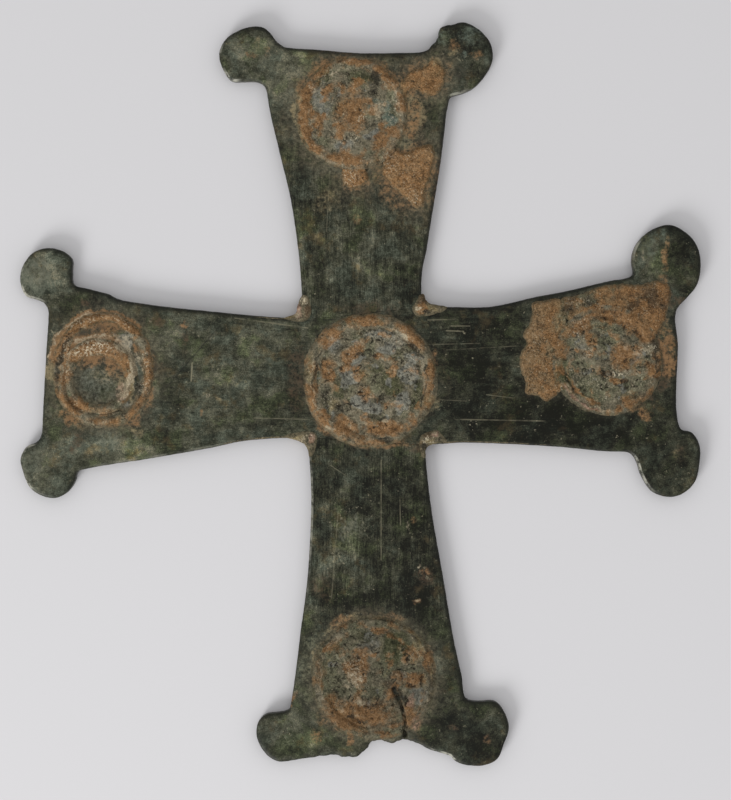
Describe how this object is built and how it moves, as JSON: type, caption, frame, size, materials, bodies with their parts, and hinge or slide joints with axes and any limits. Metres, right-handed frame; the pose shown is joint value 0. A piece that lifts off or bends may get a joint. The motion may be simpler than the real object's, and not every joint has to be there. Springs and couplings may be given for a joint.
{
  "type": "cast metal cross",
  "caption": "Flat cast cross of two flared bars half-lapped and soldered at the crossing, lobed arm ends, round crusted marks where bosses sat.",
  "frame": {"origin": "the crossing's centre on the flat back face", "axes": "+Z out of the front face, +Y along the top arm, +X along the right arm seen from the front"},
  "size_m": [0.2043, 0.2233, 0.0054],
  "materials": {
    "upright_bronze": "dark olive patina on bronze, worn along the edges",
    "cross_bar_bronze": "dark olive patina on bronze, worn along the edges",
    "solder": "corroded grey and pink solder",
    "rim_deposit": "rough orange-brown corrosion",
    "bed_deposit": "granular grey-green corrosion",
    "crust": "thick orange-brown crust"
  },
  "bodies": {
    "root": {"upright_bar": "upright_bronze", "cross_bar": "cross_bar_bronze", "lap_solder": "solder", "corner_solder_upper_left": "solder", "corner_solder_upper_right": "solder", "corner_solder_lower_left": "solder", "corner_solder_lower_right": "solder", "rim_solder_centre": "rim_deposit", "rim_solder_top": "rim_deposit", "rim_solder_left": "rim_deposit", "rim_solder_bottom": "rim_deposit", "rim_solder_right": "rim_deposit", "boss_bed_centre": "bed_deposit", "boss_bed_top": "bed_deposit", "boss_bed_left": "bed_deposit", "boss_bed_bottom": "bed_deposit", "boss_bed_right": "bed_deposit", "crust_right_arm": "crust", "crust_right_top": "crust", "crust_top_shoulder": "crust", "crust_top_foot": "crust", "crust_top_middle": "crust"}
  },
  "joints": []
}
